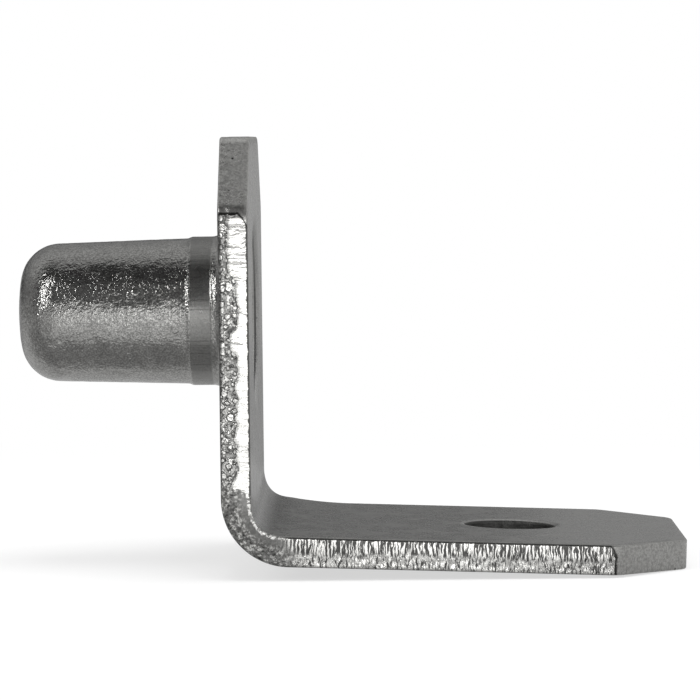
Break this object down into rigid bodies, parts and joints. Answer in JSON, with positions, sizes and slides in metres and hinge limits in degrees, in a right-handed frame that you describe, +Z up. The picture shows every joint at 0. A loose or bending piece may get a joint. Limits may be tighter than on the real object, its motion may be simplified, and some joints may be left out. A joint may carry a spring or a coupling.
{
  "type": "shelf support pin",
  "caption": "Stamped steel angle bracket with a drawn hollow peg for a hole in a cabinet side and a flat tab with a screw hole that carries the shelf.",
  "frame": {"origin": "on the peg's axis, in the plane of the plate's back face, which lies against the cabinet side", "axes": "-X along the peg, out of its nose; +X towards the end of the tab; Y across the width; +Z up, from the tab to the plate's top edge"},
  "size_m": [0.0292, 0.016, 0.0189],
  "materials": {
    "plated_steel": "bright barrel plating over stamped steel, smooth on the sheet's faces, mottled on the drawn peg and torn on the sheared edges"
  },
  "bodies": {
    "root": {"shelf_pin": "plated_steel"}
  },
  "joints": []
}
